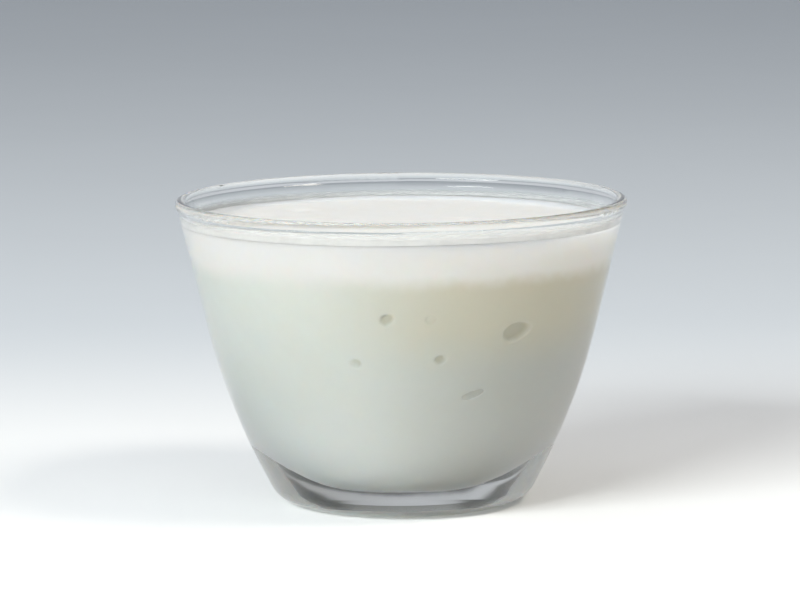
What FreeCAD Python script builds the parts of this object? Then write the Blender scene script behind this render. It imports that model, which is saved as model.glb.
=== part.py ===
"""A clear glass dessert bowl filled with plain yogurt: two solids, turned about the Z axis.

Millimetres, +Z up, origin at the centre of the flat base that the bowl stands on. The front of the
bowl is towards -Y. The yogurt fills the cavity face to face, so both solids share its values.
"""

import FreeCAD, Part
import math
import os

import Sketcher

os.makedirs("parts", exist_ok=True)
doc = FreeCAD.newDocument("bowl_of_yogurt")

# ---- driving dimensions --------------------------------------------------------------------------

SIZES = {
    "rim_radius": 60.0,  # outermost circle of the rim
    "bowl_height": 81.0,  # table to the top of the rim
    "lip_radius": 1.5,  # half the thickness of the rounded rim
    "rim_bead": 0.37,  # how far the rounded rim stands out from the wall below it
    "bead_hollow": 6.0,  # radius of the hollow that runs the rim out into the wall
    "wall_lean": 13.5,  # degrees of the straight outer wall from upright
    "knee_height": 27.4,  # where the outer wall's line meets the heel's
    "side_blend": 20.0,  # length each way from the knee that the rounding takes
    "base_radius": 33.3,  # flat base, measured to its edge before rounding
    "base_corner": 7.8,  # rounding of the base's edge
    "base_glass": 10.5,  # thickness of the glass under the cavity
    "cavity_flat": 6.5,  # radius of the flat middle of the cavity's floor
    "cavity_corner": 19.0,  # radius of the rounding from that floor into the side
    "cavity_side": 85.0,  # radius of the side's curve, from the rounding up to the straight wall
    "cavity_lean": 18.2,  # degrees of the cavity's wall from upright
    "headspace": 7.0,  # top of the rim down to the yogurt's level
    "edge_rise": 1.2,  # how far the yogurt climbs the glass above its level
    "edge_curve": 3.2,  # radius of the hollow where it climbs
}

sheet = doc.addObject("Spreadsheet::Sheet", "sizes")
for row, (alias, value) in enumerate(SIZES.items(), start=1):
    sheet.set(f"A{row}", alias)
    sheet.set(f"B{row}", str(value))
    sheet.setAlias(f"B{row}", alias)
doc.recompute()


def size(alias):
    """The number in the sheet's cell of that name."""
    return float(getattr(sheet, alias))


# Air pockets that press a dent into the yogurt where it meets the glass. Each has its bearing from
# the front in degrees (positive towards +X), its depth below the level, its width, its height, its
# depth into the yogurt and its turn in degrees (positive lifts the +X end).
SIDE_POCKETS = {
    "large": (36.8, 22.8, 9.0, 5.0, 1.5, 24.0),
    "middle_left": (-4.2, 18.3, 3.4, 3.2, 1.0, 0.0),
    "middle": (12.2, 29.1, 3.0, 2.3, 0.9, 0.0),
    "lower_left": (-14.9, 30.0, 2.9, 2.2, 0.8, -10.0),
    "lower_right": (25.8, 38.9, 6.8, 2.8, 0.7, 20.0),
}

# Shallow dents in the top. Each has its bearing, its distance from the axis, its width across that
# bearing, its length along it and its depth.
TOP_DENTS = {
    "front": (7.5, 46.5, 5.2, 3.6, 0.7),
    "back_left": (-136.0, 41.0, 6.0, 8.0, 0.6),
}


# ---- plane geometry of a half section: x is the radius, y is the height ----------------------------


def point(radius, height):
    return FreeCAD.Vector(radius, height, 0)


def up_wall(angle):
    """Unit vector up along a wall that leans outwards by the angle."""
    return point(math.sin(angle), math.cos(angle))


def off_wall(angle):
    """Unit vector square to that wall, away from the axis."""
    return point(math.cos(angle), -math.sin(angle))


def line(start, end):
    return Part.LineSegment(start, end)


def arc(centre, start, end):
    """Arc about the centre, anticlockwise from start to end."""
    angles = [math.atan2(p.y - centre.y, p.x - centre.x) for p in (start, end)]
    circle = Part.Circle(centre, FreeCAD.Vector(0, 0, 1), start.sub(centre).Length)
    return Part.ArcOfCircle(circle, *angles)


def lip_centre():
    return point(size("rim_radius") - size("lip_radius"), size("bowl_height") - size("lip_radius"))


def lip_inside():
    """Where the rounded rim runs into the cavity's wall."""
    return lip_centre() - off_wall(math.radians(size("cavity_lean"))) * size("lip_radius")


def cavity_wall(height):
    """Point at a height on the line of the cavity's wall."""
    top = lip_inside()
    return point(top.x - (top.y - height) * math.tan(math.radians(size("cavity_lean"))), height)


def cavity_curves():
    """Centre, start and end of the cavity's rounding, then of its side's curve."""
    angle = math.radians(size("cavity_lean"))
    up, off = up_wall(angle), off_wall(angle)
    corner_radius, side_radius = size("cavity_corner"), size("cavity_side")
    floor_end = point(size("cavity_flat"), size("base_glass"))
    corner_centre = floor_end + point(0, corner_radius)

    # The side's centre lies its radius in from the wall, square to where the wall turns straight.
    wall_top = lip_inside()
    apart = side_radius - corner_radius
    across = wall_top - off * side_radius - corner_centre
    reach = across.dot(up) ** 2 - across.dot(across) + apart**2
    if reach < 0:
        raise ValueError("the cavity's side is too tightly curved to meet its rounding")
    side_end = wall_top - up * (across.dot(up) - math.sqrt(reach))
    side_centre = side_end - off * side_radius
    joint = corner_centre + (corner_centre - side_centre) * (corner_radius / apart)
    return (corner_centre, floor_end, joint), (side_centre, joint, side_end)


def cavity_side(height):
    """Radius of the cavity's side at a height, and its lean there in radians."""
    for centre, start, end in cavity_curves():
        if height < end.y:
            radius = (end - centre).Length
            slope = math.asin((centre.y - height) / radius)
            return centre.x + radius * math.cos(slope), slope
    return cavity_wall(height).x, math.radians(size("cavity_lean"))


def fill_level():
    return size("bowl_height") - size("headspace")


# ---- sketches --------------------------------------------------------------------------------------

START, END, CENTRE = 1, 2, 3
X_AXIS, Y_AXIS = -1, -2
ORIGIN = (X_AXIS, START)


class Profile:
    """A half section, drawn on its body's XZ plane, whose constraints read the sheet."""

    def __init__(self, body, label):
        plane = next(p for p in body.Origin.OriginFeatures if p.Role == "XZ_Plane")
        self.sketch = body.newObject("Sketcher::SketchObject", label)
        self.sketch.AttachmentSupport = [(plane, "")]
        self.sketch.MapMode = "FlatFace"

    def add(self, shape, construction=False):
        return self.sketch.addGeometry(shape, construction)

    def tie(self, *rule):
        return self.sketch.addConstraint(Sketcher.Constraint(*rule))

    def bind(self, name, formula, *rule):
        """A constraint with a size, which follows the sheet."""
        index = self.tie(*rule)
        self.sketch.renameConstraint(index, name)
        self.sketch.setExpression(f"Constraints.{name}", formula)

    def bind_x(self, name, formula, index, place, value):
        self.bind(name, formula, "DistanceX", *ORIGIN, index, place, value)

    def bind_y(self, name, formula, index, place, value):
        self.bind(name, formula, "DistanceY", *ORIGIN, index, place, value)

    def bind_radius(self, alias, index):
        self.bind(alias, f"sizes.{alias}", "Radius", index, size(alias))

    def bind_lean(self, alias, index):
        """Lean of a line that is drawn upwards."""
        upright = math.pi / 2 - math.radians(size(alias))
        self.bind(alias, f"90 deg - sizes.{alias} * 1 deg", "Angle", index, upright)

    def bind_lip(self, index):
        """Centre and radius of the rounded rim."""
        centre = lip_centre()
        self.bind_x("lip_x", "sizes.rim_radius - sizes.lip_radius", index, CENTRE, centre.x)
        self.bind_y("lip_y", "sizes.bowl_height - sizes.lip_radius", index, CENTRE, centre.y)
        self.bind_radius("lip_radius", index)

    def add_cavity(self, wall_top):
        """The cavity's floor, rounding, side and wall, as far up as a point on the wall."""
        corner_curve, side_curve = cavity_curves()
        floor_end, side_end = corner_curve[1], side_curve[2]
        floor = self.add(line(point(0, floor_end.y), floor_end))
        corner = self.add(arc(*corner_curve))
        side = self.add(arc(*side_curve))
        wall = self.add(line(side_end, wall_top))
        self.tie("Tangent", floor, END, corner, START)
        self.tie("Tangent", corner, END, side, START)
        self.tie("Tangent", side, END, wall, START)
        self.tie("Horizontal", floor)
        self.bind_x("cavity_flat", "sizes.cavity_flat", floor, END, floor_end.x)
        self.bind_y("base_glass", "sizes.base_glass", floor, END, floor_end.y)
        self.bind_radius("cavity_corner", corner)
        self.bind_radius("cavity_side", side)
        self.bind_lean("cavity_lean", wall)
        return floor, wall


def draw_bowl(body):
    """Section of the glass, anticlockwise from the middle of the base."""
    profile = Profile(body, "glass_section")
    angle = math.radians(size("wall_lean"))
    up, off = up_wall(angle), off_wall(angle)
    lip_radius, hollow_radius = size("lip_radius"), size("bead_hollow")
    centre = lip_centre()

    # The rim stands out from the wall's line, which passes the mark beside the rim's centre.
    mark_point = point(size("rim_radius") - size("rim_bead"), centre.y)
    gap = (mark_point - centre).dot(off)
    drop = math.sqrt((lip_radius + hollow_radius) ** 2 - (gap + hollow_radius) ** 2)
    hollow_centre = centre + off * (gap + hollow_radius) - up * drop
    wall_end = hollow_centre - off * hollow_radius
    lip_start = centre + (hollow_centre - centre) * (lip_radius / (lip_radius + hollow_radius))

    # The heel's line rises from the base's edge to the knee, where it meets the wall's line.
    edge = point(size("base_radius"), 0)
    knee = mark_point + up * ((size("knee_height") - mark_point.y) / up.y)
    heel_way = (knee - edge).normalize()
    heel_angle = math.atan2(heel_way.x, heel_way.y)
    if heel_angle <= angle:
        raise ValueError("the base is too wide for the rim: the heel leans out less than the wall")
    side_start = knee - heel_way * size("side_blend")
    side_end = knee + up * size("side_blend")
    side_centre = side_end - off * (size("side_blend") / math.tan((heel_angle - angle) / 2))
    corner_run = size("base_corner") * math.tan((math.pi / 2 - heel_angle) / 2)
    foot = edge - point(corner_run, 0)

    base = profile.add(line(point(0, 0), foot))
    corner = profile.add(arc(foot + point(0, size("base_corner")), foot, edge + heel_way * corner_run))
    heel = profile.add(line(edge + heel_way * corner_run, side_start))
    side = profile.add(arc(side_centre, side_start, side_end))
    wall = profile.add(line(side_end, wall_end))
    hollow = profile.add(arc(hollow_centre, lip_start, wall_end))
    lip = profile.add(arc(centre, lip_start, lip_inside()))
    floor, inner_wall = profile.add_cavity(lip_inside())
    middle = profile.add(line(point(0, size("base_glass")), point(0, 0)))
    heel_line = profile.add(line(edge, knee), True)
    mark = profile.add(Part.Point(mark_point), True)

    profile.tie("Coincident", base, START, *ORIGIN)
    profile.tie("Horizontal", base)
    profile.tie("Tangent", base, END, corner, START)
    profile.tie("Tangent", corner, END, heel, START)
    profile.tie("Tangent", heel, END, side, START)
    profile.tie("Tangent", side, END, wall, START)
    profile.tie("Tangent", wall, END, hollow, END)
    profile.tie("Tangent", hollow, START, lip, START)
    profile.tie("Tangent", lip, END, inner_wall, END)
    profile.tie("Coincident", floor, START, middle, START)
    profile.tie("Coincident", middle, END, base, START)
    profile.tie("Vertical", middle)
    profile.tie("PointOnObject", mark, START, wall)
    profile.tie("PointOnObject", heel_line, END, wall)
    profile.tie("PointOnObject", heel, START, heel_line)
    profile.tie("PointOnObject", heel, END, heel_line)
    profile.tie("PointOnObject", heel_line, START, X_AXIS)

    profile.bind_lip(lip)
    profile.bind_x("mark_x", "sizes.rim_radius - sizes.rim_bead", mark, START, mark_point.x)
    profile.bind_y("mark_y", "sizes.bowl_height - sizes.lip_radius", mark, START, mark_point.y)
    profile.bind_radius("bead_hollow", hollow)
    profile.bind_lean("wall_lean", wall)
    profile.bind_y("knee_height", "sizes.knee_height", heel_line, END, knee.y)
    profile.bind_x("base_radius", "sizes.base_radius", heel_line, START, edge.x)
    profile.bind_radius("base_corner", corner)
    blend = size("side_blend")
    profile.bind("side_blend", "sizes.side_blend", "Distance", heel_line, END, side, START, blend)
    return profile


def draw_yogurt(body):
    """Section of the yogurt, anticlockwise from the middle of the cavity's floor."""
    profile = Profile(body, "yogurt_section")
    level = fill_level()
    contact = cavity_wall(level + size("edge_rise"))
    curve = size("edge_curve")
    run = math.sqrt(curve**2 - (curve - size("edge_rise")) ** 2)
    hollow_start = point(contact.x - run, level)

    floor, wall = profile.add_cavity(contact)
    climb = profile.add(arc(hollow_start + point(0, curve), hollow_start, contact))
    top = profile.add(line(hollow_start, point(0, level)))
    middle = profile.add(line(point(0, level), point(0, size("base_glass"))))
    rim = profile.add(Part.Circle(lip_centre(), FreeCAD.Vector(0, 0, 1), size("lip_radius")), True)

    profile.tie("Tangent", wall, rim)
    profile.tie("Coincident", wall, END, climb, END)
    profile.tie("Tangent", climb, START, top, START)
    profile.tie("Horizontal", top)
    profile.tie("Coincident", top, END, middle, START)
    profile.tie("Vertical", middle)
    profile.tie("Coincident", middle, END, floor, START)
    profile.tie("PointOnObject", floor, START, Y_AXIS)

    profile.bind_lip(rim)
    level_formula = "sizes.bowl_height - sizes.headspace"
    profile.bind_y("level", level_formula, top, END, level)
    profile.bind_y("contact", f"{level_formula} + sizes.edge_rise", wall, END, contact.y)
    profile.bind_radius("edge_curve", climb)
    return profile


# ---- solids ----------------------------------------------------------------------------------------

CAP_SHARE = 1 / 3  # of a dent's ellipsoid, how much of its half thickness sinks in
FULL_TURN = 360.0


def turned_body(label, draw):
    """A body turned once about the Z axis from its section."""
    body = doc.addObject("PartDesign::Body", label)
    body.Label = label
    sketch = draw(body).sketch
    doc.recompute()
    turn = body.newObject("PartDesign::Revolution", f"{label}_turn")
    turn.Profile = (sketch, [""])
    turn.ReferenceAxis = (sketch, ["V_Axis"])
    turn.Angle = FULL_TURN
    sketch.Visibility = False
    doc.recompute()
    return body


def press_dent(body, name, centre, across, along, outward, spans):
    """Presses a dent of the given width, length and depth into a body's surface.

    The dent is the cap of an ellipsoid, whose poles lie off to the sides, clear of the surface.
    """
    width, length, depth = spans
    thickness = depth / CAP_SHARE
    spread = 2 * math.sqrt(1 - (1 - CAP_SHARE) ** 2)
    dent = body.newObject("PartDesign::SubtractiveEllipsoid", name)
    dent.Radius1 = width / spread
    dent.Radius2 = thickness
    dent.Radius3 = length / spread
    turn = FreeCAD.Rotation(outward, along, across, "ZXY")
    dent.Placement = FreeCAD.Placement(centre + outward * (thickness - depth), turn)


def bearing_ways(bearing):
    """Unit vectors outwards and sideways at a bearing from the front."""
    turn = math.radians(bearing)
    outward = FreeCAD.Vector(math.sin(turn), -math.cos(turn), 0)
    sideways = FreeCAD.Vector(math.cos(turn), math.sin(turn), 0)
    return outward, sideways


def press_side_pocket(body, name, bearing, below, width, height, depth, tilt):
    """Presses an air pocket into the side, square to the cavity's wall."""
    outward, sideways = bearing_ways(bearing)
    upward = FreeCAD.Vector(0, 0, 1)
    height_up = fill_level() - below
    radius, slope = cavity_side(height_up)
    centre = outward * radius + upward * height_up
    normal = outward * math.cos(slope) - upward * math.sin(slope)
    up_side = outward * math.sin(slope) + upward * math.cos(slope)
    turn = math.radians(tilt)
    across = sideways * math.cos(turn) + up_side * math.sin(turn)
    press_dent(body, name, centre, across, across.cross(normal), normal, (width, height, depth))


def press_top_dent(body, name, bearing, distance, width, length, depth):
    """Presses a shallow dent into the level top."""
    outward, sideways = bearing_ways(bearing)
    upward = FreeCAD.Vector(0, 0, 1)
    centre = outward * distance + upward * fill_level()
    press_dent(body, name, centre, sideways, sideways.cross(upward), upward, (width, length, depth))


bowl = turned_body("glass_bowl", draw_bowl)
yogurt = turned_body("yogurt", draw_yogurt)
for name, values in SIDE_POCKETS.items():
    press_side_pocket(yogurt, f"pocket_{name}", *values)
for name, values in TOP_DENTS.items():
    press_top_dent(yogurt, f"dent_{name}", *values)
doc.recompute()

# ---- check and export ------------------------------------------------------------------------------

for item in doc.Objects:
    if "Invalid" in item.State or "Error" in item.State:
        raise RuntimeError(f"{item.Label} failed: {item.State}")
for item in doc.findObjects("Sketcher::SketchObject"):
    if item.solve() != 0 or not item.FullyConstrained:
        raise RuntimeError(f"{item.Label} isn't fully constrained")
for body in (bowl, yogurt):
    if body.Shape.isNull() or not body.Shape.isValid() or len(body.Shape.Solids) != 1:
        raise RuntimeError(f"{body.Label} isn't one valid solid")
    body.Shape.exportStep(f"parts/{body.Label}.step")
    box = body.Shape.optimalBoundingBox()
    print(body.Label, f"{body.Shape.Volume / 1000:.1f} cm3", f"{box.XLength:.2f} x {box.ZLength:.2f} mm")
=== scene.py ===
"""A clear glass dessert bowl filled with plain yogurt, on a pale floor in soft light.

Metres, +Z up, the front towards -Y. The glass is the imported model's own solid with a better
material. The yogurt is replaced by a closer model of the same size, pressed just into the glass.
"""

import math

import bpy
from mathutils import Matrix, Vector, noise


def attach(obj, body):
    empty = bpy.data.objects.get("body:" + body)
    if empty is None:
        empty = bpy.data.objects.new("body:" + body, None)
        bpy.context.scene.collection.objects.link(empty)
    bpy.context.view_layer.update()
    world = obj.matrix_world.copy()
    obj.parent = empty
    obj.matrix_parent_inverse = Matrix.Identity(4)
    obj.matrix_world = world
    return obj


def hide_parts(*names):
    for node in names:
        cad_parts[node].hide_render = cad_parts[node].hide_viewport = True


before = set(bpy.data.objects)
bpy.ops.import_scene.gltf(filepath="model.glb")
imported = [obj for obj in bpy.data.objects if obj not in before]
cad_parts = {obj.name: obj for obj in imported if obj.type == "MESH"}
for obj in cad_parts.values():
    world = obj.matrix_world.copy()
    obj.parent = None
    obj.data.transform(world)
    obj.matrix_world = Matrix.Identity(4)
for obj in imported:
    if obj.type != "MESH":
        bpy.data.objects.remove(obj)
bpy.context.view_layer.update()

MM = 0.001
BODY = "root"

# ---- the cavity and its filling, as the glass is made ----------------------------------------------

RIM_RADIUS = 60.0 * MM
BOWL_HEIGHT = 81.0 * MM
LIP_RADIUS = 1.5 * MM
FLOOR_HEIGHT = 10.5 * MM
FLOOR_FLAT = 6.5 * MM
CORNER_RADIUS = 19.0 * MM
SIDE_RADIUS = 85.0 * MM
WALL_LEAN = math.radians(18.2)
LEVEL = 74.0 * MM
EDGE_RISE = 1.2 * MM
EDGE_CURVE = 3.2 * MM

SEAT = 0.12 * MM  # how far the yogurt reaches into the glass

# Air pockets against the glass: bearing from the front, depth below the level, width, height,
# depth, turn, and how far the +X end is drawn out to a point.
SIDE_POCKETS = (
    (36.8, 22.8, 8.6, 5.8, 1.2, 14.0, 0.35),
    (-4.2, 18.3, 3.6, 3.2, 0.8, 30.0, 0.2),
    (12.2, 29.1, 3.0, 2.3, 0.8, 10.0, 0.1),
    (-14.9, 30.0, 2.9, 2.3, 0.7, -10.0, 0.0),
    (25.8, 38.9, 6.0, 2.2, 0.5, 18.0, 0.3),
    (8.2, 18.4, 2.6, 2.2, 0.3, 0.0, 0.0),
)

# Dents in the top: bearing, distance from the axis, width, length, depth.
TOP_DENTS = (
    (7.5, 46.5, 5.6, 3.4, 0.8),
    (-136.0, 41.0, 7.0, 8.0, 0.6),
)


def clamp01(value):
    return max(0.0, min(1.0, value))


def smooth_step(start, end, value):
    t = clamp01((value - start) / (end - start))
    return t * t * (3 - 2 * t)


def uneven(place, scale, seed):
    """Smooth variation from -1 to 1 at a place, over lumps of the given size."""
    return noise.noise(place / scale + Vector((seed, seed * 0.7, -seed)))


class Cavity:
    """Section of the glass's inner surface: a flat floor, two curves, then a straight leaning wall."""

    def __init__(self):
        lip = Vector((RIM_RADIUS - LIP_RADIUS, BOWL_HEIGHT - LIP_RADIUS))
        self.off = Vector((math.cos(WALL_LEAN), -math.sin(WALL_LEAN)))
        up = Vector((math.sin(WALL_LEAN), math.cos(WALL_LEAN)))
        self.top = lip - self.off * LIP_RADIUS
        corner = Vector((FLOOR_FLAT, FLOOR_HEIGHT + CORNER_RADIUS))
        apart = SIDE_RADIUS - CORNER_RADIUS
        across = self.top - self.off * SIDE_RADIUS - corner
        reach = across.dot(up) ** 2 - across.length_squared + apart**2
        side_end = self.top - up * (across.dot(up) - math.sqrt(reach))
        side = side_end - self.off * SIDE_RADIUS
        joint = corner + (corner - side) * (CORNER_RADIUS / apart)
        self.curves = ((corner, CORNER_RADIUS, joint.y), (side, SIDE_RADIUS, side_end.y))

    def radius(self, height):
        for centre, radius, end in self.curves:
            if height < end:
                drop = min(radius, centre.y - height)
                return centre.x + math.sqrt(radius**2 - drop**2)
        return self.top.x - (self.top.y - height) * math.tan(WALL_LEAN)

    def outward(self, height):
        """Unit vector square to the surface, as (radius, height)."""
        for centre, radius, end in self.curves:
            if height < end:
                slope = math.asin(min(1.0, (centre.y - height) / radius))
                return Vector((math.cos(slope), -math.sin(slope)))
        return self.off


cavity = Cavity()


def bearing_of(place):
    return math.atan2(place.x, -place.y)


def at_bearing(bearing, radius, height):
    return Vector((radius * math.sin(bearing), -radius * math.cos(bearing), height))


# ---- the yogurt's mesh -------------------------------------------------------------------------------

# Steps between the mesh's places: fine near the air pockets and along the top's edge.
FINE = 0.42 * MM
COARSE = 1.3 * MM
SIDE_STEP = 1.0 * MM
UPPER_STEP = 0.75 * MM
EDGE_STEP = 0.6 * MM
FLOOR_SHARES = (0.2, 0.6, 1.0)
ROUNDING_STEPS = 26
CLIMB_STEPS = 7
MIDDLE_RADIUS = 50 * MM  # where the steps about the axis have these lengths

# Where they are fine: up to this bearing, between these heights, outside this radius.
FINE_REACH = math.radians(46)
POCKETS_LOW = LEVEL - 42 * MM
POCKETS_HIGH = LEVEL - 14 * MM
OUTER_TOP = 42 * MM
TOP_MIDDLE = 1.2 * MM  # the radius at which the top's rings end, and the least that one has
LEAST_RING = 0.4 * MM

POCKET_STEEPNESS = 3.5
POINT_CURVE = 1.5
DENT_SPREAD = 1.6

# The edge rises and falls by this much, over lumps of this share of a radian.
EDGE_CHANGE = 0.3 * MM
EDGE_LUMP = 0.8
EDGE_FROM = LEVEL - 4 * MM

# Waves in the top: height, size of a lump, seed.
TOP_WAVES = (
    (0.16, 17, 5.2),
    (0.07, 6, 1.7),
)


def graded(start, end, fine_from, fine_to, fine, coarse):
    """Values from start to end, with small steps between fine_from and fine_to."""
    values = [start]
    while values[-1] < end:
        near = fine_from <= values[-1] < fine_to
        values.append(values[-1] + (fine if near else coarse))
    scale = (end - start) / (values[-1] - start)
    return [start + (v - start) * scale for v in values]


def pocket_depth(bearing, height):
    """How deep the air pockets press in at a place on the side."""
    deepest = 0.0
    for centre, below, width, tall, depth, turn, point in SIDE_POCKETS:
        centre_height = LEVEL - below * MM
        along = (bearing - math.radians(centre)) * cavity.radius(centre_height)
        up = (height - centre_height) / math.cos(WALL_LEAN)
        c, s = math.cos(math.radians(turn)), math.sin(math.radians(turn))
        x = (along * c + up * s) / (width * MM / 2)
        y = (up * c - along * s) / (tall * MM / 2)
        y /= 1.0 - point * clamp01((x + 1) / 2) ** POINT_CURVE
        inside = 1.0 - math.sqrt(x * x + y * y)
        if inside > 0:
            deepest = max(deepest, depth * MM * math.sqrt(min(1.0, POCKET_STEEPNESS * inside)))
    return deepest


def dent_depth(place):
    """How deep the dents press into the top at a place."""
    total = 0.0
    for bearing, distance, width, length, depth in TOP_DENTS:
        centre = at_bearing(math.radians(bearing), distance * MM, place.z)
        outward = at_bearing(math.radians(bearing), 1.0, 0.0)
        offset = place - centre
        along = offset.dot(outward) / (length * MM / 2)
        across = offset.cross(outward).z / (width * MM / 2)
        total += depth * MM * math.exp(-DENT_SPREAD * (along * along + across * across))
    return total


def edge_lift(bearing):
    """How much higher or lower than usual the yogurt climbs the glass at a bearing."""
    return EDGE_CHANGE * uneven(at_bearing(bearing, 1.0, 0.0), EDGE_LUMP, 3.1)


def top_height(place):
    """Height of the top, which is nearly level and gently uneven."""
    waves = sum(height * MM * uneven(place, lump * MM, seed) for height, lump, seed in TOP_WAVES)
    return waves - dent_depth(place)


def lathe(name, rings, bearings, capped=True):
    """Mesh of closed rings, one for each list of places, which can close to a point at each end."""
    count = len(bearings)
    places, faces = [], []
    for ring in rings:
        places.extend(ring)
    for i in range(len(rings) - 1):
        for j in range(count):
            a, b = i * count + j, i * count + (j + 1) % count
            faces.append((a, b, b + count, a + count))
    ends = (0, (len(rings) - 1) * count) if capped else ()
    for first in ends:
        middle = sum((places[first + j] for j in range(count)), Vector()) / count
        places.append(middle)
        tip = len(places) - 1
        for j in range(count):
            a, b = first + j, first + (j + 1) % count
            faces.append((b, a, tip) if first == 0 else (a, b, tip))
    mesh = bpy.data.meshes.new(name)
    mesh.from_pydata(places, [], faces)
    mesh.polygons.foreach_set("use_smooth", [True] * len(mesh.polygons))
    mesh.update()
    piece = bpy.data.objects.new(name, mesh)
    bpy.context.scene.collection.objects.link(piece)
    return piece


def make_yogurt():
    """The filling: its floor, its side with the air pockets, its climbing edge and its top."""
    fine, coarse = FINE / MIDDLE_RADIUS, COARSE / MIDDLE_RADIUS
    bearings = graded(-math.pi, math.pi, -FINE_REACH / 2, FINE_REACH, fine, coarse)[:-1]
    contact = LEVEL + EDGE_RISE

    rings = []
    for share in FLOOR_SHARES:
        radius = FLOOR_FLAT * share
        rings.append([at_bearing(b, radius, FLOOR_HEIGHT - SEAT) for b in bearings])
    # The rounding, stepped by angle because it starts level, then the side.
    _, rounding, rounding_top = cavity.curves[0]
    steep = math.acos(1 - (rounding_top - FLOOR_HEIGHT) / rounding)
    angles = [steep * (i + 1) / ROUNDING_STEPS for i in range(ROUNDING_STEPS)]
    heights = [FLOOR_HEIGHT + rounding * (1 - math.cos(angle)) for angle in angles]
    heights += graded(rounding_top + COARSE, POCKETS_LOW - FINE, 0.0, 0.0, FINE, SIDE_STEP)
    heights += graded(POCKETS_LOW, contact, POCKETS_LOW, POCKETS_HIGH, FINE, UPPER_STEP)
    for height in heights:
        ring = []
        for b in bearings:
            lift = edge_lift(b) * smooth_step(EDGE_FROM, contact, height)
            h = height + lift
            out = cavity.outward(h)
            spot = Vector((cavity.radius(h), h)) + out * (SEAT - pocket_depth(b, h))
            ring.append(at_bearing(b, spot.x, spot.y))
        rings.append(ring)
    # The hollow where it climbs the glass, then the top.
    run = math.sqrt(EDGE_CURVE**2 - (EDGE_CURVE - EDGE_RISE) ** 2)
    outer = cavity.radius(contact) + SEAT * cavity.off.x
    hollow_start = cavity.radius(contact) - run
    for i in range(1, CLIMB_STEPS + 1):
        share = i / CLIMB_STEPS
        radius = outer + (hollow_start - outer) * share
        side = max(0.0, radius - hollow_start)
        rise = EDGE_CURVE - math.sqrt(EDGE_CURVE**2 - min(side, run) ** 2)
        ring = []
        for b in bearings:
            lift = edge_lift(b) * (1 - share) ** 2
            flat = at_bearing(b, radius, LEVEL)
            ring.append(flat + Vector((0, 0, rise + lift + top_height(flat) * share)))
        rings.append(ring)
    radius = hollow_start
    while radius > TOP_MIDDLE:
        radius -= EDGE_STEP if radius > OUTER_TOP else COARSE
        ring = []
        for b in bearings:
            flat = at_bearing(b, max(radius, LEAST_RING), LEVEL)
            ring.append(flat + Vector((0, 0, top_height(flat))))
        rings.append(ring)
    piece = lathe("yogurt_filling", rings, bearings)
    mark_pockets(piece)
    return piece


# The darkening in the air pockets is a painted shade.
POCKET_SHADE = (0.1 * MM, 1.5 * MM)  # the depths at which a pocket starts to darken, and is darkest


def mark_pockets(piece):
    """Stores on each vertex how far it lies inside an air pocket, from 0 to 1, for the painted shade there.
    """
    shade = piece.data.attributes.new("pocket", "FLOAT", "POINT")
    values = []
    for vertex in piece.data.vertices:
        place = vertex.co
        depth = 0.0
        if place.z < POCKETS_HIGH:
            depth = pocket_depth(bearing_of(place), place.z)
        values.append(smooth_step(*POCKET_SHADE, depth))
    shade.data.foreach_set("value", values)


# The film starts under the yogurt's edge and reaches higher at the front than behind.
FILM_LOW = LEVEL + 0.7 * MM
FILM_RISE = 3.2 * MM
FILM_RISE_TO_FRONT = 1.1 * MM
FILM_RISE_CHANGE = 0.4 * MM
FILM_LUMP = 0.7
FILM_SEAT = 0.06 * MM
FILM_FULL = 0.3  # the share of its height below which it doesn't fade
FILM_AROUND = 240
FILM_UP = 12


def make_film():
    """A thin strip pressed just into the glass's inner wall, above the yogurt's edge."""
    bearings = [2 * math.pi * i / FILM_AROUND for i in range(FILM_AROUND)]
    rings, fades = [], []
    for i in range(FILM_UP + 1):
        share = i / FILM_UP
        ring = []
        for b in bearings:
            reach = FILM_RISE + FILM_RISE_TO_FRONT * math.cos(b)
            reach += FILM_RISE_CHANGE * uneven(at_bearing(b, 1.0, 0.0), FILM_LUMP, 6.3)
            height = FILM_LOW + reach * share
            ring.append(at_bearing(b, cavity.radius(height) + FILM_SEAT, height))
            fades.append(1.0 - smooth_step(FILM_FULL, 1.0, share))
        rings.append(ring)
    piece = lathe("yogurt_film", rings, bearings, capped=False)
    piece.data.attributes.new("fade", "FLOAT", "POINT").data.foreach_set("value", fades)
    return piece


# ---- shader building -----------------------------------------------------------------------------------


def new_group(name, inputs, outputs):
    """An empty node group with float or colour sockets, given as (name, kind, default)."""
    group = bpy.data.node_groups.new(name, "ShaderNodeTree")
    kinds = {"float": "NodeSocketFloat", "color": "NodeSocketColor"}
    for label, kind, default in inputs:
        socket = group.interface.new_socket(label, in_out="INPUT", socket_type=kinds[kind])
        socket.default_value = default
    for label, kind in outputs:
        group.interface.new_socket(label, in_out="OUTPUT", socket_type=kinds[kind])
    return group, group.nodes.new("NodeGroupInput"), group.nodes.new("NodeGroupOutput")


def add(tree, kind, **settings):
    node = tree.nodes.new("ShaderNode" + kind)
    for key, value in settings.items():
        setattr(node, key, value)
    return node


def feed(tree, node, values):
    """Sets inputs by name or number, from a socket or a plain value."""
    for key, value in values.items():
        if isinstance(value, bpy.types.NodeSocket):
            tree.links.new(value, node.inputs[key])
        else:
            node.inputs[key].default_value = value
    return node


def math_node(tree, operation, a, b, clamp=False):
    return feed(tree, add(tree, "Math", operation=operation, use_clamp=clamp), {0: a, 1: b}).outputs[0]


def remap(tree, value, low, high, to_low=0.0, to_high=1.0, smooth=True):
    node = add(tree, "MapRange", interpolation_type="SMOOTHSTEP" if smooth else "LINEAR")
    feed(tree, node, {0: value, 1: low, 2: high, 3: to_low, 4: to_high})
    return node.outputs[0]


def mix_color(tree, share, a, b):
    node = add(tree, "Mix", data_type="RGBA")
    feed(tree, node, {0: share, 6: a, 7: b})
    return node.outputs[2]


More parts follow.
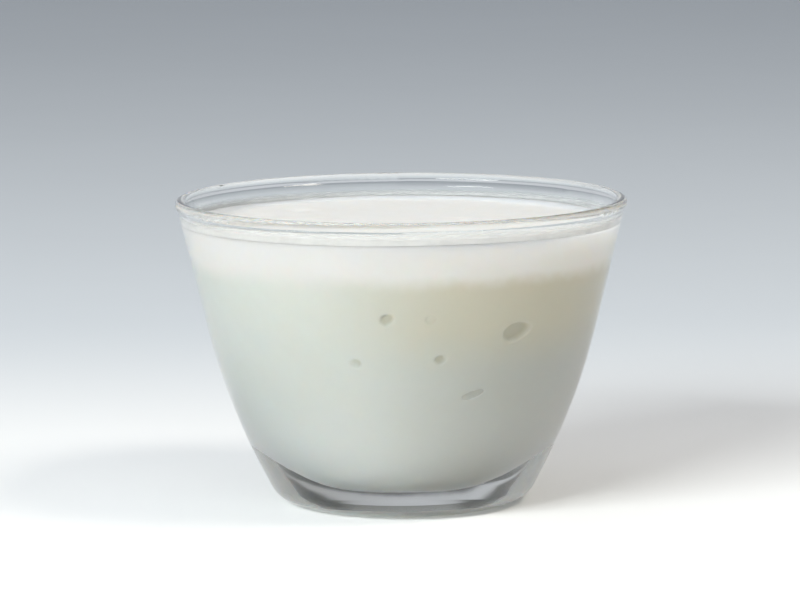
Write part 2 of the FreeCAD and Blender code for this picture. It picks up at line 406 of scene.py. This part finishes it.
def darken(tree, share, color, by):
    """Multiplies a colour by another, as much as the share says."""
    node = add(tree, "Mix", data_type="RGBA", blend_type="MULTIPLY")
    feed(tree, node, {0: share, 6: color, 7: by})
    return node.outputs[2]


PATCH_SHARE = 0.72  # how much of the blotches the broad layer makes; the fine one makes the rest
PATCH_RANGE = (0.36, 0.64)


def make_blotches():
    """Soft blotches between two colours, with a second, finer layer."""
    inputs = [
        ("Base", "color", (0.8, 0.8, 0.8, 1)),
        ("Tint", "color", (0.7, 0.7, 0.7, 1)),
        ("Patch Size", "float", 0.02),
        ("Fine Size", "float", 0.004),
        ("Strength", "float", 0.5),
    ]
    group, into, out = new_group("soft_blotches", inputs, [("Color", "color"), ("Mask", "float")])
    where = add(group, "TexCoord").outputs["Object"]
    values = []
    for size_name, detail in (("Patch Size", 2.0), ("Fine Size", 3.0)):
        scale = math_node(group, "DIVIDE", 1.0, into.outputs[size_name])
        pattern = add(group, "TexNoise")
        feed(group, pattern, {"Vector": where, "Scale": scale, "Detail": detail, "Roughness": 0.5})
        values.append(pattern.outputs[0])
    mixed = math_node(group, "MULTIPLY", values[0], PATCH_SHARE)
    fine = math_node(group, "MULTIPLY", values[1], 1.0 - PATCH_SHARE)
    total = math_node(group, "ADD", mixed, fine)
    mask = math_node(group, "MULTIPLY", remap(group, total, *PATCH_RANGE), into.outputs["Strength"], True)
    color = mix_color(group, mask, into.outputs["Base"], into.outputs["Tint"])
    group.links.new(color, out.inputs["Color"])
    group.links.new(mask, out.inputs["Mask"])
    return group


def make_bearing():
    """Share of a full turn about the Z axis, from behind past the left, the front and the right."""
    group, _, out = new_group("bearing", [], [("Share", "float")])
    where = add(group, "TexCoord").outputs["Object"]
    x, y, _ = feed(group, add(group, "SeparateXYZ"), {0: where}).outputs
    angle = math_node(group, "ARCTAN2", x, math_node(group, "MULTIPLY", y, -1.0))
    share = math_node(group, "ADD", math_node(group, "DIVIDE", angle, 2 * math.pi), 0.5)
    group.links.new(share, out.inputs["Share"])
    return group


def ramp(tree, value, stops, way="B_SPLINE"):
    """Colours between stops, each a place from 0 to 1 and a colour or a grey."""
    node = add(tree, "ValToRGB")
    node.color_ramp.interpolation = way
    while len(node.color_ramp.elements) < len(stops):
        node.color_ramp.elements.new(0.5)
    for element, (place, color) in zip(node.color_ramp.elements, stops):
        element.position = place
        element.color = (*color, 1.0) if isinstance(color, tuple) else (color, color, color, 1.0)
    return feed(tree, node, {0: value}).outputs[0]


def make_relief():
    """Height of a soft uneven surface: broad swells and fine grain."""
    inputs = [
        ("Swell Size", "float", 0.01),
        ("Grain Size", "float", 0.0008),
        ("Grain Share", "float", 0.2),
    ]
    group, into, out = new_group("soft_relief", inputs, [("Height", "float"), ("Grain", "float")])
    where = add(group, "TexCoord").outputs["Object"]
    values = []
    for size_name, detail in (("Swell Size", 1.0), ("Grain Size", 2.0)):
        scale = math_node(group, "DIVIDE", 1.0, into.outputs[size_name])
        pattern = add(group, "TexNoise")
        feed(group, pattern, {"Vector": where, "Scale": scale, "Detail": detail})
        values.append(pattern.outputs[0])
    grain = math_node(group, "MULTIPLY", values[1], into.outputs["Grain Share"])
    group.links.new(math_node(group, "ADD", values[0], grain), out.inputs["Height"])
    group.links.new(values[1], out.inputs["Grain"])
    return group


blotches = make_blotches()
relief = make_relief()
turn_share = make_bearing()


def use(tree, group, **values):
    node = tree.nodes.new("ShaderNodeGroup")
    node.node_tree = group
    return feed(tree, node, {k.replace("_", " "): v for k, v in values.items()})


def new_material(name):
    material = bpy.data.materials.new(name)
    material.use_nodes = True
    tree = material.node_tree
    return material, tree, tree.nodes["Principled BSDF"]


def bump(tree, height, distance, strength):
    node = add(tree, "Bump")
    feed(tree, node, {"Height": height, "Distance": distance, "Strength": strength})
    return node.outputs[0]


def make_glass():
    """Clear pressed glass, with the faintest swells and specks of dullness."""
    material, tree, shader = new_material("clear_pressed_glass")
    feed(tree, shader, {"Transmission Weight": 1.0, "IOR": 1.5, "Metallic": 0.0})
    tone = use(tree, blotches, Base=(0.985, 0.995, 0.99, 1), Tint=(0.975, 0.988, 0.986, 1))
    feed(tree, tone, {"Patch Size": 0.03, "Fine Size": 0.006, "Strength": 0.6})
    swell = use(tree, relief)
    feed(tree, swell, {"Swell Size": 0.022, "Grain Size": 0.0016, "Grain Share": 0.0})
    tree.links.new(tone.outputs["Color"], shader.inputs["Base Color"])
    roughness = remap(tree, swell.outputs["Grain"], 0.4, 0.75, 0.0, 0.03)
    tree.links.new(roughness, shader.inputs["Roughness"])
    tree.links.new(bump(tree, swell.outputs["Height"], 0.0002, 0.1), shader.inputs["Normal"])
    return material


def place_of(tree):
    """X, Y and height above the table."""
    where = add(tree, "TexCoord").outputs["Object"]
    return feed(tree, add(tree, "SeparateXYZ"), {0: where}).outputs


def by_bearing(*stops):
    """Ramp stops from bearings in degrees, from -180 behind, past the front at 0, to 180."""
    return [(0.5 + degrees / 360, color) for degrees, color in stops]


# Painted light and shade on the side about the axis: lightest at the front left, greyer at the right.
BODY_PAINTED_SHADE_TONES = by_bearing(
    (-180, (1.0, 0.965, 0.98)),
    (-115, (0.98, 0.95, 0.965)),
    (-85, (0.86, 0.88, 0.875)),
    (-62, (0.94, 0.96, 0.955)),
    (-40, (1.0, 1.0, 0.99)),
    (-16, (1.0, 1.0, 0.985)),
    (10, (0.90, 0.89, 0.865)),
    (40, (0.80, 0.785, 0.755)),
    (75, (0.76, 0.74, 0.715)),
    (120, (0.92, 0.885, 0.885)),
    (180, (1.0, 0.965, 0.98)),
)
# How much of the painted warm shade shows about the axis.
WARM_SHADE_SHARES = by_bearing(
    (-180, 0.0),
    (-40, 0.0),
    (-10, 0.2),
    (10, 0.8),
    (55, 1.0),
    (90, 0.5),
    (120, 0.0),
    (180, 0.0),
)
# How the painted light of the whiter band at the top of the side changes about the axis.
BAND_PAINTED_LIGHT_TONES = by_bearing(
    (-180, (0.94, 0.94, 0.94)),
    (-90, (0.93, 0.94, 0.945)),
    (-50, (0.92, 0.92, 0.925)),
    (-10, (0.93, 0.93, 0.935)),
    (20, (0.985, 0.985, 0.99)),
    (60, (1.0, 1.0, 1.0)),
    (110, (1.0, 1.0, 1.0)),
    (180, (0.94, 0.94, 0.94)),
)

# Heights between which the side turns whiter with painted light, warmer with painted shade and, downwards,
# lighter with painted light.
BAND_LIGHT_HEIGHTS = (62.8 * MM, 68.2 * MM)
BAND_LIGHT_WANDER = 1.5 * MM
WARM_SHADE_HEIGHTS = (38 * MM, 55 * MM)
LOW_LIGHT_HEIGHTS = (12 * MM, 42 * MM)
FACING_UP = (0.3, 0.9)
WARM_PAINTED_SHADE_TONE = (0.74, 0.70, 0.55, 1)
LOW_PAINTED_LIGHT_TONE = (0.86, 0.885, 0.86, 1)
TOP_PAINTED_SHADE = (0.82, 0.82, 0.82, 1)
POCKET_PAINTED_SHADE = (0.74, 0.72, 0.62, 1)


def make_yogurt_material():
    """Cool and slightly uneven below, with a whiter band of painted light near the top, painted light and
    shade round the side, and painted shade in the air pockets.
    """
    material, tree, shader = new_material("plain_yogurt")
    tone = use(tree, blotches, Base=(0.79, 0.82, 0.785, 1), Tint=(0.77, 0.795, 0.75, 1))
    feed(tree, tone, {"Patch Size": 0.016, "Fine Size": 0.003, "Strength": 0.7})
    lit_white_tone = use(tree, blotches, Base=(0.93, 0.92, 0.90, 1), Tint=(0.915, 0.905, 0.87, 1))
    feed(tree, lit_white_tone, {"Patch Size": 0.012, "Fine Size": 0.003, "Strength": 0.7})
    wander = math_node(tree, "MULTIPLY", lit_white_tone.outputs["Mask"], BAND_LIGHT_WANDER)
    _, _, height = place_of(tree)
    # Painted light: a whiter band at the top of the side, where light comes in through the top.
    band_light_share = remap(tree, math_node(tree, "ADD", height, wander), *BAND_LIGHT_HEIGHTS)
    around = use(tree, turn_share).outputs["Share"]
    # Painted light: the side turns lighter towards the bottom.
    lower = mix_color(tree, remap(tree, height, *LOW_LIGHT_HEIGHTS, 1.0, 0.0), tone.outputs["Color"], LOW_PAINTED_LIGHT_TONE)
    # Painted light and shade about the axis: lighter at the front left, greyer at the right.
    lower = darken(tree, 1.0, lower, ramp(tree, around, BODY_PAINTED_SHADE_TONES))
    # Painted warm shade on the upper right of the side.
    warm = math_node(tree, "MULTIPLY", ramp(tree, around, WARM_SHADE_SHARES), remap(tree, height, *WARM_SHADE_HEIGHTS))
    lower = mix_color(tree, warm, lower, WARM_PAINTED_SHADE_TONE)
    # The band's painted light is made brighter towards the right.
    band = darken(tree, 1.0, lit_white_tone.outputs["Color"], ramp(tree, around, BAND_PAINTED_LIGHT_TONES))
    side = mix_color(tree, band_light_share, lower, band)
    # What faces up is the top, which has one tone all round, dimmed by a painted shade.
    normal = add(tree, "NewGeometry").outputs["Normal"]
    _, _, up_share = feed(tree, add(tree, "SeparateXYZ"), {0: normal}).outputs
    shaded_top_color = darken(tree, 1.0, lit_white_tone.outputs["Color"], TOP_PAINTED_SHADE)
    body = mix_color(tree, remap(tree, up_share, *FACING_UP), side, shaded_top_color)
    # Painted shade in the air pockets.
    pocket = add(tree, "Attribute", attribute_name="pocket").outputs["Fac"]
    body = darken(tree, pocket, body, POCKET_PAINTED_SHADE)
    lumps = use(tree, relief)
    feed(tree, lumps, {"Swell Size": 0.006, "Grain Size": 0.0007, "Grain Share": 0.12})
    tree.links.new(body, shader.inputs["Base Color"])
    roughness = remap(tree, lumps.outputs["Grain"], 0.3, 0.7, 0.34, 0.46)
    tree.links.new(roughness, shader.inputs["Roughness"])
    tree.links.new(bump(tree, lumps.outputs["Height"], 0.0004, 0.4), shader.inputs["Normal"])
    feed(tree, shader, {"IOR": 1.4, "Subsurface Weight": 0.8, "Subsurface Scale": 0.01})
    shader.inputs["Subsurface Radius"].default_value = (1.0, 0.85, 0.7)
    return material


# From this far in front of the axis to this far behind it, the film turns darker with a painted shade.
FILM_REAR_SHADE_SPAN = (-20 * MM, 40 * MM)
FILM_REAR_PAINTED_SHADE = (0.82, 0.84, 0.86, 1)
FILM_COVER = (0.88, 0.78)


def make_film_material():
    """The thin film of yogurt left on the glass above the level, which fades out upwards."""
    material, tree, shader = new_material("thin_yogurt_film")
    tone = use(tree, blotches, Base=(0.95, 0.94, 0.92, 1), Tint=(0.93, 0.925, 0.90, 1))
    feed(tree, tone, {"Patch Size": 0.009, "Fine Size": 0.002, "Strength": 1.0})
    fade = add(tree, "Attribute", attribute_name="fade").outputs["Fac"]
    cover = remap(tree, tone.outputs["Mask"], 0.0, 1.0, *FILM_COVER, smooth=False)
    _, along_y, _ = place_of(tree)
    # Painted shade: the film is darker behind the axis.
    color = darken(tree, remap(tree, along_y, *FILM_REAR_SHADE_SPAN), tone.outputs["Color"], FILM_REAR_PAINTED_SHADE)
    tree.links.new(color, shader.inputs["Base Color"])
    tree.links.new(math_node(tree, "MULTIPLY", fade, cover), shader.inputs["Alpha"])
    feed(tree, shader, {"Roughness": 0.42, "IOR": 1.4})
    return material


FLOOR_REAR_SHADE_SPAN = (0.0, 0.35)
FLOOR_REAR_PAINTED_SHADE = (0.76, 0.80, 0.84, 1)


def make_floor_material():
    """Pale and matt, with a painted shade that makes it a little darker and bluer behind the bowl."""
    material, tree, shader = new_material("pale_floor")
    tone = use(tree, blotches, Base=(0.88, 0.885, 0.89, 1), Tint=(0.86, 0.865, 0.87, 1))
    feed(tree, tone, {"Patch Size": 0.4, "Fine Size": 0.05, "Strength": 0.5})
    _, along_y, _ = place_of(tree)
    # Painted shade: the floor is darker and bluer behind the bowl.
    color = darken(tree, remap(tree, along_y, *FLOOR_REAR_SHADE_SPAN), tone.outputs["Color"], FLOOR_REAR_PAINTED_SHADE)
    tree.links.new(color, shader.inputs["Base Color"])
    feed(tree, shader, {"Roughness": 0.9, "Specular IOR Level": 0.1})
    return material


# ---- pieces ----------------------------------------------------------------------------------------------

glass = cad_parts["glass_bowl"]
glass.material_slots[0].material = make_glass()

filling = make_yogurt()
filling.data.materials.append(make_yogurt_material())
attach(filling, BODY)
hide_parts("yogurt")

film = make_film()
film.data.materials.append(make_film_material())
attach(film, BODY)

# ---- stage, light and camera ---------------------------------------------------------------------------

FLOOR_SIZE = 4.8
FLOOR_GAP = 0.2 * MM

floor_mesh = bpy.data.meshes.new("floor")
corners = []
for x, y in ((-1, -1), (1, -1), (1, 1), (-1, 1)):
    corners.append((x * FLOOR_SIZE / 2, y * FLOOR_SIZE / 2, -FLOOR_GAP))
floor_mesh.from_pydata(corners, [], [(0, 1, 2, 3)])
floor = bpy.data.objects.new("floor", floor_mesh)
bpy.context.scene.collection.objects.link(floor)
floor_mesh.materials.append(make_floor_material())


AIM = (0, 0, 0.04)

# Soft lights: name, place, width, height, power, colour.
LIGHTS = (
    ("key_left", (-0.85, -1.05, 0.75), 0.9, 0.45, 27, (0.97, 1.0, 0.985)),
    ("top", (-0.1, 0.25, 1.2), 0.9, 0.9, 0.8, (1.0, 0.995, 0.985)),
    ("warm_right", (0.8, -0.3, 1.15), 0.45, 0.45, 7.5, (1.0, 0.93, 0.82)),
)


def soft_light(name, place, width, height, power, color):
    """A rectangular area light that faces the bowl and isn't mirrored in it."""
    data = bpy.data.lights.new(name, "AREA")
    data.shape = "RECTANGLE"
    data.size, data.size_y = width, height
    data.energy = power
    data.color = color
    light = bpy.data.objects.new(name, data)
    bpy.context.scene.collection.objects.link(light)
    light.location = place
    light.rotation_euler = (Vector(AIM) - Vector(place)).to_track_quat("-Z", "Y").to_euler()
    light.visible_glossy = False


for light_values in LIGHTS:
    soft_light(*light_values)

SKY_LOW = (0.60, 0.63, 0.67, 1)
SKY_HIGH = (0.62, 0.65, 0.70, 1)
SKY_STRENGTH = 0.75
SKY_CLIMB = (0.0, 0.7)
RIGHT_SHADE = (0.62, 0.60, 0.57, 1)
RIGHT_FROM = (-0.1, 0.7)
SIDE_DARK = (0.06, 0.065, 0.065, 1)
SIDE_DARK_FROM = (0.04, 0.12)
SIDE_DARK_ABOVE = (0.36, 0.375)
STRIP_CURVE = 0.43  # how much the strips rise towards the sides
STRIP_REAR = (0.3, 0.5)
STRIP_ENDS = (0.45, 0.6)

# Behind the bowl hang a dark strip, a light one and a broad grey one, for the heavy base to show.
STRIPS = (
    (0.29, (0.80, 0.84, 0.89)),
    (0.337, (0.10, 0.105, 0.11)),
    (0.346, (0.10, 0.105, 0.11)),
    (0.353, (0.58, 0.60, 0.63)),
    (0.358, (0.58, 0.60, 0.63)),
    (0.372, (0.24, 0.25, 0.245)),
    (0.62, (0.30, 0.31, 0.305)),
    (0.75, (0.62, 0.65, 0.70)),
)

world = bpy.data.worlds.new("studio")
world.use_nodes = True
bpy.context.scene.world = world
sky = world.node_tree
direction = add(sky, "TexCoord").outputs["Generated"]
way_x, way_y, climb = feed(sky, add(sky, "SeparateXYZ"), {0: direction}).outputs
sky_color = mix_color(sky, remap(sky, climb, *SKY_CLIMB), SKY_LOW, SKY_HIGH)
side_way = math_node(sky, "POWER", way_x, 2.0)
rise = math_node(sky, "SUBTRACT", climb, math_node(sky, "MULTIPLY", side_way, STRIP_CURVE))
within_ends = remap(sky, side_way, *STRIP_ENDS, 1.0, 0.0)
behind = math_node(sky, "MULTIPLY", remap(sky, way_y, *STRIP_REAR), within_ends)
sky_color = mix_color(sky, behind, sky_color, ramp(sky, rise, STRIPS, "EASE"))
# The grey strip is nearly black at its two sides, and the whole field is dimmer at the right.
dark_side = math_node(sky, "MULTIPLY", remap(sky, side_way, *SIDE_DARK_FROM), behind)
dark_side = math_node(sky, "MULTIPLY", dark_side, remap(sky, rise, *SIDE_DARK_ABOVE))
sky_color = mix_color(sky, dark_side, sky_color, SIDE_DARK)
sky_color = darken(sky, remap(sky, way_x, *RIGHT_FROM), sky_color, RIGHT_SHADE)
feed(sky, sky.nodes["Background"], {"Color": sky_color, "Strength": SKY_STRENGTH})

CAMERA_RISE = math.radians(8.72)
CAMERA_ROLL = math.radians(0.4)
CAMERA_DISTANCE = 1.1
LENS = 185.4
SENSOR = 36.0
SHIFT = (-0.0025, 0.0616)
FAR_LIMIT = 50.0

target = Vector(AIM)
forward = Vector((0, math.cos(CAMERA_RISE), -math.sin(CAMERA_RISE)))
right = Vector((1, 0, 0))
up = right.cross(forward)
rolled_right = right * math.cos(CAMERA_ROLL) - up * math.sin(CAMERA_ROLL)
rolled_up = up * math.cos(CAMERA_ROLL) + right * math.sin(CAMERA_ROLL)
camera_data = bpy.data.cameras.new("camera")
camera_data.lens = LENS
camera_data.sensor_width = SENSOR
camera_data.shift_x, camera_data.shift_y = SHIFT
camera_data.clip_end = FAR_LIMIT
camera = bpy.data.objects.new("camera", camera_data)
bpy.context.scene.collection.objects.link(camera)
turn = Matrix((rolled_right, rolled_up, -forward)).transposed()
camera.matrix_world = Matrix.Translation(target - forward * CAMERA_DISTANCE) @ turn.to_4x4()
bpy.context.scene.camera = camera
bpy.context.scene.view_settings.view_transform = "Standard"
